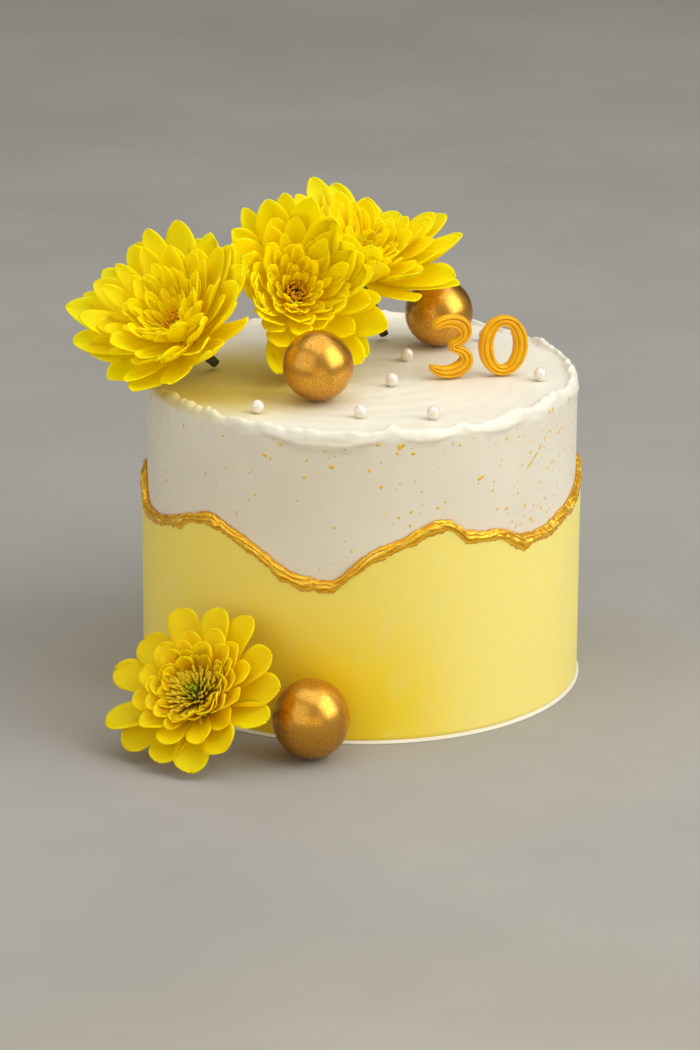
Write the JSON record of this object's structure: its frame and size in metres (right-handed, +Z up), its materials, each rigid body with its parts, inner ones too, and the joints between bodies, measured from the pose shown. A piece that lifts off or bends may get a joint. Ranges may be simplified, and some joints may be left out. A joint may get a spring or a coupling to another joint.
{
  "type": "cream cake",
  "caption": "Round cream cake with a yellow lower coat under a torn gold seam, dressed with yellow chrysanthemums, gold balls, sugar pearls and plain gold numerals.",
  "frame": {"origin": "middle of the cake's flat underside, on the cake's axis", "axes": "+Z up along the cake's axis; -Y is the front, where the lower flower and ball lie; +X is to the right of a viewer at the front"},
  "size_m": [0.1985, 0.209, 0.1867],
  "materials": {
    "white_cream": "smooth off-white whipped cream, satin, spattered with gold",
    "yellow_cream": "smooth yellow cream, paler near the seam and richer towards the foot",
    "gold_paint": "glossy gold lustre paint on a ragged cream edge",
    "gold_ball": "satin coppery gold leaf with a mottled grain",
    "gold_numeral": "moulded golden yellow sugar paste",
    "petal_yellow": "fresh yellow petals, soft and slightly see-through"
  },
  "bodies": {
    "root": {"cream_cake": "white_cream", "yellow_cream": "yellow_cream", "gold_edge": "gold_paint", "flower_left": "petal_yellow", "flower_middle": "petal_yellow", "flower_right": "petal_yellow", "flower_foot": "petal_yellow", "ball_top_front": "gold_ball", "ball_top_back": "gold_ball", "ball_foot": "gold_ball", "numeral_three": "gold_numeral", "numeral_zero": "gold_numeral"}
  },
  "joints": []
}
